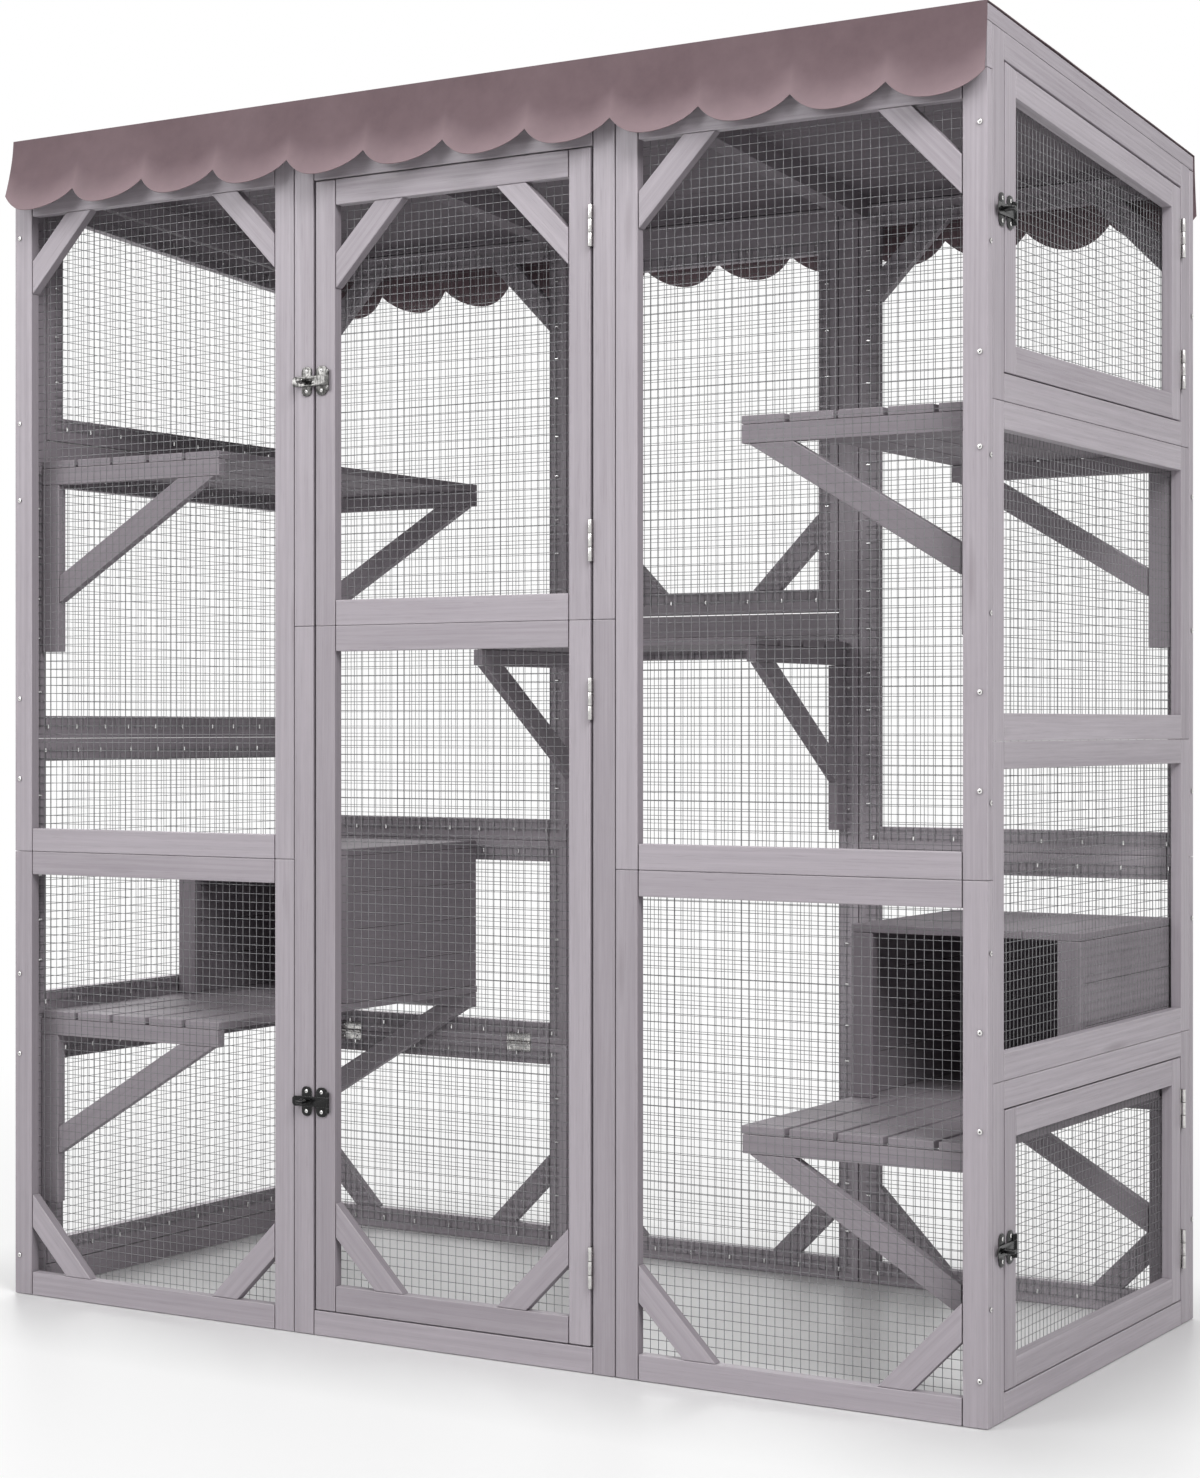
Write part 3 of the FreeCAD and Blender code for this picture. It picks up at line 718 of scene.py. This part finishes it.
def choose(piece, kind, test):  # opens a piece for editing, with what passes the test selected
    pick(piece)
    bpy.ops.object.mode_set(mode="EDIT")
    bpy.ops.mesh.select_mode(type=kind)
    bpy.ops.mesh.select_all(action="DESELECT")
    closeEdit()
    mesh = piece.data
    if kind == "FACE":
        for face in mesh.polygons:
            face.select = test(face.center, face.normal)
    elif kind == "EDGE":
        for edge in mesh.edges:
            a, b = (mesh.vertices[i].co for i in edge.vertices)
            edge.select = test((a + b) / 2, b - a)
    else:
        for vertex in mesh.vertices:
            vertex.select = test(vertex.co, vertex.normal)
    bpy.ops.object.mode_set(mode="EDIT")


def ease(piece, width):
    angle = math.radians(40)
    modify(piece, "BEVEL", width=width, segments=2, limit_method="ANGLE", angle_limit=angle, material=1)
    return piece


# screw heads, with shares of their radius for the dome and the driver's cross
screwShape = {
    "thick": 0.0009,
    "proud": 0.0002,
    "rim": (0.26, 0.14),
    "dome": (0.2, 0.05),
    "cross": (0.03, 0.34),
    "waist": 0.36,
    "shoulder": 0.72,
    "armAngle": 12,
    "steep": 0.4,  # faces that look less far outwards are the head's edge
}


def screwHead(radius):
    piece = drum(radius, screwShape["thick"], (0, 0, 0), facing, 16)
    choose(piece, "FACE", lambda middle, normal: normal.y < -nearly)
    for step in ("rim", "dome"):
        across, rise = screwShape[step]
        bpy.ops.mesh.inset(thickness=radius * across, depth=radius * rise)
    closeEdit()
    top = min(vertex.co.y for vertex in piece.data.vertices)
    for vertex in piece.data.vertices:  # the top ring drawn in to a cross
        if abs(vertex.co.y - top) < 1e-6:
            turn = math.degrees(math.atan2(vertex.co.z, vertex.co.x)) % 90
            share = 1.0
            if abs(turn - 45) < screwShape["armAngle"]:
                share = screwShape["waist"]
            elif min(turn, 90 - turn) > screwShape["armAngle"]:
                share = screwShape["shoulder"]
            vertex.co.x *= share
            vertex.co.z *= share
    choose(piece, "FACE", lambda middle, normal: middle.y < top + 1e-6 and normal.y < -nearly)
    across, sink = screwShape["cross"]
    bpy.ops.mesh.inset(thickness=radius * across, depth=-radius * sink)
    closeEdit()
    for face in piece.data.polygons:
        face.material_index = 1 if face.select or face.normal.y > -screwShape["steep"] else 2
    return piece


def screwAt(radius, x, y, z):
    head = screwHead(radius)
    head.location = (x, y - screwShape["proud"], z)
    return head


# butt hinges: the leaves lie in the door's gap and only the barrel shows
hinge = {
    "length": 0.058,
    "knuckle": 0.003,
    "pin": 0.0015,
    "gap": 0.003,
    "plate": 0.0012,
    "depth": 0.015,
    "overlap": 0.001,  # of a knuckle's tongue with the barrel and the leaf
    "pinShort": 0.0004,
    "clear": 0.0003,
    "leafEdge": 0.0003,
    "barrelEdge": 0.0004,
    "tongueEdge": 0.0002,
}


def hingeKnuckle(low, high, side):
    middle = (low + high) / 2
    barrel = drum(hinge["knuckle"], high - low, (0, 0, middle))
    x = side * (hinge["gap"] / 2 - hinge["plate"] / 2)
    size = (hinge["plate"], hinge["knuckle"] + hinge["overlap"], high - low)
    tongue = block(size, (x, hinge["knuckle"] / 2 + hinge["clear"], middle))
    return [ease(barrel, hinge["barrelEdge"]), ease(tongue, hinge["tongueEdge"])]


def hingeLeaf(side):
    x = side * (hinge["gap"] / 2 - hinge["plate"] / 2)
    y = hinge["knuckle"] + hinge["clear"] + hinge["depth"] / 2
    return ease(block((hinge["plate"], hinge["depth"], hinge["length"]), (x, y, 0)), hinge["leafEdge"])


def fixedHinge():
    third = hinge["length"] / 3
    parts = [hingeLeaf(1)]
    parts += hingeKnuckle(-1.5 * third, -0.5 * third, 1)
    parts += hingeKnuckle(0.5 * third, 1.5 * third, 1)
    parts.append(drum(hinge["pin"], hinge["length"] - hinge["pinShort"], (0, 0, 0), sides=12))
    return meld(parts)


def movingHinge():
    half = hinge["length"] / 6 - hinge["clear"]
    return meld([hingeLeaf(-1)] + hingeKnuckle(-half, half, -1))


# twist-knob hasp: base plate on the leaf, jamb plate with its knob, and the strap between them
hasp = {
    "near": 0.004, "reach": 0.0264, "axis": 0.003, "height": 0.043, "plate": 0.0012, "jamb": 0.018,
    "strapEnd": 0.036, "strapHeight": 0.015, "ear": 0.0022, "earLength": 0.0076, "pin": 0.0011,
    "slotLength": 0.021, "slotWidth": 0.006, "stem": 0.0024, "wingFoot": 0.006, "wingLength": 0.012,
    "wingHeight": 0.0048, "out": 0.020, "tipLift": 0.0022, "screw": 0.0027, "screwAt": 0.0145,
    "collar": 0.003, "collarLength": 0.0016, "collarSunk": 0.0004, "stemSunk": 0.0006, "pastSlot": 0.002,
    "clear": 0.0003, "plateEdge": 0.0003, "barrelEdge": 0.0004, "wingEdge": 0.0007, "wingRound": 0.0036,
    "plateRound": 0.4, "strapRound": 0.36, "slotRound": 0.45,  # shares of the narrower side
    "tab": 0.8,  # share of the pin's height
    "cutter": 0.01,
}


def lobedPlate(left, right):
    wide, middle = right - left, (left + right) / 2
    piece = block((wide, hasp["plate"], hasp["height"]), (middle, -hasp["plate"] / 2, 0))
    choose(piece, "EDGE", lambda spot, line: abs(line.y) > hasp["plate"] * nearly)
    bpy.ops.mesh.bevel(offset=min(wide, hasp["height"]) * hasp["plateRound"], segments=5)
    closeEdit()
    parts = [ease(piece, hasp["plateEdge"])]
    for z in (-hasp["screwAt"], hasp["screwAt"]):
        parts.append(screwAt(hasp["screw"], middle, -hasp["plate"], z))
    return meld(parts)


def jambPlate():
    return lobedPlate(-hasp["near"] - hasp["jamb"], -hasp["near"])


def haspBase():
    reach, axis = hasp["reach"], hasp["axis"]
    parts = [lobedPlate(hasp["near"], reach - hasp["ear"])]
    for sign in (-1, 1):
        z = sign * (hasp["strapHeight"] / 2 + hasp["clear"] + hasp["earLength"] / 2)
        ear = drum(hasp["ear"], hasp["earLength"], (reach, -axis, z))
        parts.append(ease(ear, hasp["barrelEdge"]))
        size = (hasp["ear"] * 2, axis * hasp["tab"], hasp["earLength"])
        tab = block(size, (reach - hasp["ear"], -size[1] / 2, z))
        parts.append(ease(tab, hasp["plateEdge"]))
    parts.append(drum(hasp["pin"], hasp["strapHeight"] + hasp["earLength"] * 2, (reach, -axis, 0), sides=12))
    return meld(parts)


def haspStrap():
    reach, axis, tall = hasp["reach"], hasp["axis"], hasp["strapHeight"]
    size = (hasp["strapEnd"] + reach, hasp["plate"], tall)
    strap = block(size, ((reach - hasp["strapEnd"]) / 2, -axis, 0))
    choose(strap, "EDGE", lambda spot, line: abs(line.y) > hasp["plate"] * nearly and spot.x < 0)
    bpy.ops.mesh.bevel(offset=tall * hasp["strapRound"], segments=5)
    bpy.ops.mesh.select_all(action="SELECT")
    bend = -hasp["near"] - hasp["slotLength"] - hasp["pastSlot"]  # from here the tip lifts for a finger
    bpy.ops.mesh.bisect(plane_co=(bend, 0, 0), plane_no=(1, 0, 0))
    closeEdit()
    choose(strap, "VERT", lambda spot, normal: spot.x < bend - sameSpot)
    bpy.ops.transform.translate(value=(0, -hasp["tipLift"], 0))
    closeEdit()
    size = (hasp["slotLength"], hasp["cutter"], hasp["slotWidth"])
    slot = block(size, (-hasp["near"] - hasp["slotLength"] / 2, -axis, 0))
    choose(slot, "EDGE", lambda spot, line: abs(line.y) > size[1] * nearly)
    bpy.ops.mesh.bevel(offset=hasp["slotWidth"] * hasp["slotRound"], segments=4)
    closeEdit()
    modify(strap, "BOOLEAN", operation="DIFFERENCE", object=slot, solver="EXACT")
    bpy.data.objects.remove(slot)
    ease(strap, hasp["plateEdge"])
    roll = drum(hasp["ear"], tall, (reach, -axis, 0))
    return meld([strap, ease(roll, hasp["barrelEdge"])])


def twistKnob():
    x, foot = -hasp["near"] - hasp["slotLength"] / 2, hasp["wingFoot"]
    rise = hasp["out"] - foot
    wing = block((hasp["wingLength"], rise, hasp["wingHeight"]), (x, -foot - rise / 2, 0))
    choose(wing, "EDGE", lambda spot, line: abs(line.z) > hasp["wingHeight"] * nearly)
    bpy.ops.mesh.bevel(offset=hasp["wingRound"], segments=4)
    closeEdit()
    stemMiddle = -hasp["plate"] - foot / 2 + hasp["stemSunk"]
    stem = drum(hasp["stem"], foot, (x, stemMiddle, 0), facing, 16)
    collar = drum(hasp["collar"], hasp["collarLength"], (x, -foot + hasp["collarSunk"], 0), facing, 16)
    return meld([ease(wing, hasp["wingEdge"]), stem, ease(collar, hasp["plateEdge"])])


turns = {
    "front": Matrix.Identity(4),
    "right": Matrix.Rotation(math.pi / 2, 4, "Z"),
    "left": Matrix.Rotation(math.pi, 4, Vector((1, 1, 0)).normalized()),
    "back": Matrix.Rotation(math.pi, 4, "Z"),
}


def place(master, wall, spot):  # a copy with its own mesh, set on a wall
    item = master.copy()
    item.data = master.data.copy()
    bpy.context.scene.collection.objects.link(item)
    item.data.transform(Matrix.Translation(spot) @ turns[wall])
    return item


def middles(node):
    return [sum(runBox(run), Vector()) / 2 for run in cadRuns(node)]


def fitMetal(parts, name, body, finish, *stoodFor):
    piece = meld(parts)
    slot = "black_steel" if finish == "black_steel" else "bright_steel"
    marks = [face.material_index for face in piece.data.polygons]
    for index, kind in ((1, "edge"), (2, "head")):
        mark(piece.data, kind, [float(found == index) for found in marks])
    piece.data.polygons.foreach_set("material_index", [0] * len(marks))
    fit(piece, name, body, metalFinish[finish], slot, *stoodFor)
    pick(piece)
    bpy.ops.object.shade_smooth_by_angle(angle=math.radians(35))


masters = {
    "fixedHinge": fixedHinge(), "movingHinge": movingHinge(), "base": haspBase(),
    "strap": haspStrap(), "knob": twistKnob(), "jamb": jambPlate(),
}
pins = middles("door_hinge_pins")
plates = middles("latch_plates")
fixedLeaves, jambPlates = [], {"smoked_steel": [], "black_steel": []}
for number, door in enumerate(doors):
    wall = door.split("_")[0]
    # hasps not in black enamel get the darkened nickel with painted reflection
    finish = "black_steel" if slotOf[door + "_strap"] == "black_steel" else "smoked_steel"
    leaf = bodyOf[door + "_door"]
    ownPins = pins[number * 2:number * 2 + 2]
    fixedLeaves += [place(masters["fixedHinge"], wall, spot) for spot in ownPins]
    moving = [place(masters["movingHinge"], wall, spot) for spot in ownPins]
    fitMetal(moving, door + "_hinge_leaves", leaf, "bright_steel", door + "_fittings")
    jambMiddle = Vector((-hasp["near"] - hasp["jamb"] / 2, -hasp["plate"] / 2, 0))
    latch = plates[number] - turns[wall] @ jambMiddle
    for kind, piece, node in (
        ("base", "_hasp_base", "_fittings"), ("strap", "_hasp_strap", "_strap"), ("knob", "_twist_knob", "_knob"),
    ):
        fitMetal([place(masters[kind], wall, latch)], door + piece, bodyOf[door + node], finish, door + node)
    jambPlates[finish].append(place(masters["jamb"], wall, latch))
fitMetal(fixedLeaves, "hinge_leaves_fixed", "enclosure", "bright_steel", "door_hinge_leaves", "door_hinge_pins")
for finish, parts in jambPlates.items():
    fitMetal(parts, "jamb_plates_" + finish, "enclosure", finish, "latch_plates")
for master in masters.values():
    bpy.data.objects.remove(master)
print("fittings:", len(pins), "hinges,", len(plates), "hasps")


# fold hinges on the back frames
fold = {
    "length": 0.048, "leaf": 0.0156, "knuckle": 0.0022, "plate": 0.0012, "clear": 0.0003, "edge": 0.0003,
    "screw": 0.0024, "screwsAt": (-0.3, 0.3), "screwOut": 0.002,
}


def foldHinge():
    parts = []
    for sign in (-1, 1):
        z = sign * (fold["clear"] + fold["leaf"] / 2)
        leaf = block((fold["length"], fold["plate"], fold["leaf"]), (0, -fold["plate"] / 2, z))
        parts.append(ease(leaf, fold["edge"]))
        for share in fold["screwsAt"]:
            x = fold["length"] * share
            parts.append(screwAt(fold["screw"], x, -fold["plate"], z + sign * fold["screwOut"]))
    third, across = fold["length"] / 3, (0, math.pi / 2, 0)
    for x in (-third, 0, third):
        spot = (x, -fold["knuckle"] - fold["clear"], 0)
        barrel = drum(fold["knuckle"], third - fold["clear"], spot, across, 16)
        parts.append(ease(barrel, fold["edge"]))
    return meld(parts)


master = foldHinge()
halves = middles("back_fold_hinges")
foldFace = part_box("back_fold_hinges")[1].y
parts = []
for low, high in zip(halves[0::2], halves[1::2]):
    parts.append(place(master, "front", Vector((low.x, foldFace, (low.z + high.z) / 2))))
bpy.data.objects.remove(master)
fitMetal(parts, "back_fold_hinges_metal", "enclosure", "bright_steel", "back_fold_hinges")


# screws in the timber
screws = {
    "radius": 0.0034,
    "inset": 0.011,
    "front": (0.060, 0.375, 0.500, 0.805, 0.930, 1.240, 1.360, 1.650),
    "sideInset": 0.009,
    "side": (0.150, 0.600, 0.790, 1.030, 1.230, 1.500),
}
master = screwHead(screws["radius"])
parts = []
for sign, side in ((-1, "left"), (1, "right")):
    x = sign * (eaveHigh.x - screws["inset"])
    for z in screws["front"]:
        parts.append(place(master, "front", Vector((x, eaveLow.y - screwShape["proud"], z))))
        parts.append(place(master, "back", Vector((x, eaveHigh.y + screwShape["proud"], z))))
    x = sign * (eaveHigh.x + screwShape["proud"])
    for z in screws["side"]:
        for y in (eaveLow.y + screws["sideInset"], eaveHigh.y - screws["sideInset"]):
            parts.append(place(master, side, Vector((x, y, z))))
bpy.data.objects.remove(master)
print("screws:", len(parts))
fitMetal(parts, "timber_screws", "enclosure", "bright_steel")


# staples over the edges of the mesh
staple = {
    "crown": 0.0070,
    "gauge": 0.0028,
    "rise": 0.0014,
    "crownEdge": (0.28, 0.2),  # shares of the gauge, across and up
    "step": 0.066,
    "inset": 0.0045,
    "corner": 0.02,  # none nearer to a net's corner
    "straySide": 0.008,
    "strayUp": 0.01,
}
stapleWalls = {(1, 1.0): "back", (1, -1.0): "front", (0, -1.0): "left", (0, 1.0): "right"}


def stapleMaster(turn):
    bar = block((staple["crown"], staple["rise"], staple["gauge"]), (0, 0, 0))
    choose(bar, "FACE", lambda middle, normal: normal.y < -nearly)
    across, up = staple["crownEdge"]
    bpy.ops.mesh.inset(thickness=staple["gauge"] * across, depth=staple["gauge"] * up)
    closeEdit()
    bar.data.transform(Matrix.Rotation(turn, 4, "Y"))
    return bar


def staplePlaces(node, panel):  # along foot and top with the crown upright, up both sides with it level
    low, high, wide, tops = panel["low"], panel["high"], panel["wide"], panel["tops"]
    inset, width = staple["inset"], high[wide] - low[wide]
    chance = random.Random(node + str(round(low.x, 3)) + str(round(low.z, 3)))
    count = int(width / staple["step"])
    for i in range(count + 1):
        u = low[wide] + staple["corner"] + (width - 2 * staple["corner"]) * i / count
        u += chance.uniform(-staple["straySide"], staple["straySide"])
        yield u, low.z + inset, "upright"
        yield u, tops[0] + (tops[1] - tops[0]) * (u - low[wide]) / width - inset, "upright"
    for top, u in zip(tops, (low[wide] + inset, high[wide] - inset)):
        count = int((top - low.z) / staple["step"])
        for i in range(1, count):
            z = low.z + (top - low.z) * i / count
            yield u, z + chance.uniform(-staple["strayUp"], staple["strayUp"]), "level"


masters = {"level": stapleMaster(0), "upright": stapleMaster(math.pi / 2)}
staples = 0
for node, panels in netPanels.items():
    parts = []
    for panel in panels:
        wall = stapleWalls[panel["thin"], panel["inward"]]
        for u, z, kind in staplePlaces(node, panel):
            spot = onWall(panel, u, z, wire["gauge"] * wire["stapleLayer"])
            parts.append(place(masters[kind], wall, spot))
    staples += len(parts)
    fitMetal(parts, node + "_staples", bodyOf[node], "staple_steel")
for master in masters.values():
    bpy.data.objects.remove(master)
print("staples:", staples)


# floor, light and camera
studio = {
    "light": 0.11,
    "floor": 0.74,
    "grit": 0.02,
    "floorSize": 40,
    "floorDrop": 0.0005,
    "inside": 0.02,  # shares of plain white in the floor: under the object, beside it and far off; little white under and beside the object leaves the floor there darker, a painted shade
    "near": 0.72,
    "nearReach": 0.3,
    "farReach": 2.4,
}


def paleFloor():
    look = Look("paleFloor", Specular_IOR_Level=0.3)
    spot = look.objectSpot()
    grit = look.noise(spot, 60.0, 2.0)
    pale, paler = studio["floor"] - studio["grit"], studio["floor"] + studio["grit"]
    colour = look.blend(grit, (pale, pale, pale, 1), (paler, paler, paler, 1))
    look.feed(Base_Color=colour, Roughness=look.span(grit, 0.3, 0.7, 0.3, 0.36))
    apart = look.vector("SUBTRACT", look.vector("ABSOLUTE", spot), tuple(eaveHigh))
    apart = look.vector("LENGTH", look.vector("MAXIMUM", apart, (0, 0, 0)), out="Value")  # metres from the walls
    # white glow fading out towards the walls: painted shade under and beside the object
    share = look.span(apart, 0.0, studio["nearReach"], studio["inside"], studio["near"])
    share += look.span(apart, studio["nearReach"], studio["farReach"], 0.0, 1 - studio["near"])
    white = look.add("ShaderNodeEmission", {}, {"Color": (1, 1, 1, 1), "Strength": 1.0})
    matt = Shade(look, look.shader.outputs[0])
    faded = look.add("ShaderNodeMixShader", {}, {0: look.seen() * share, 1: matt, 2: white})
    look.link(look.tree.nodes["Material Output"].inputs["Surface"], faded)
    return look.material


bpy.ops.object.select_all(action="DESELECT")
bpy.ops.mesh.primitive_plane_add(size=studio["floorSize"], location=(0, 0, -studio["floorDrop"]))
floor = bpy.context.object
floor.name = "floor"
floor.data.materials.append(paleFloor())
floor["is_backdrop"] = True

world = bpy.data.worlds.new("studio")
bpy.context.scene.world = world
sky = Look("studio", world)
sky.feed(Color=(1, 1, 1, 1), Strength=sky.span(sky.seen(), 0.0, 1.0, studio["light"], 1.0))

lamps = {
    "keyLamp": {"at": (4.2, -2.7, 4.4), "aim": (0.3, 0, 0.9), "size": 2.4, "power": 252},
    "fillLamp": {"at": (-2.6, -4.0, 3.1), "aim": (0, 0, 0.9), "size": 3.0, "power": 106},
    "backLamp": {"at": (-3.0, 3.6, 4.0), "aim": (0, 0.2, 0.9), "size": 3.2, "power": 165},
    "topLamp": {"at": (0.4, -1.8, 4.6), "aim": (0, -0.2, 1.2), "size": 3.2, "power": 44},
}
for name, lamp in lamps.items():
    bpy.ops.object.light_add(type="AREA", location=lamp["at"])
    item = bpy.context.object
    item.name = name
    item.data.size = lamp["size"]
    item.data.energy = lamp["power"]
    item.rotation_euler = (Vector(lamp["aim"]) - Vector(lamp["at"])).to_track_quat("-Z", "Y").to_euler()

# focal length and shift in photo pixels, over the photo's height
photoView = {
    "at": (2.2139, -3.6278, 0.8868), "turn": 31.21,
    "height": 1478, "focal": 2773.3, "shift": -12.57, "sensor": 36,
}
upright = (math.pi / 2, 0, math.radians(photoView["turn"]))
bpy.ops.object.camera_add(location=photoView["at"], rotation=upright)
camera = bpy.context.object
camera.data.lens = photoView["focal"] * photoView["sensor"] / photoView["height"]
camera.data.shift_y = photoView["shift"] / photoView["height"]
bpy.context.scene.camera = camera
bpy.context.scene.view_settings.view_transform = "Standard"

low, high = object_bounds()
{"cad": [list(cadLow), list(cadHigh)], "visual": [list(low), list(high)]}
print("scene: done")
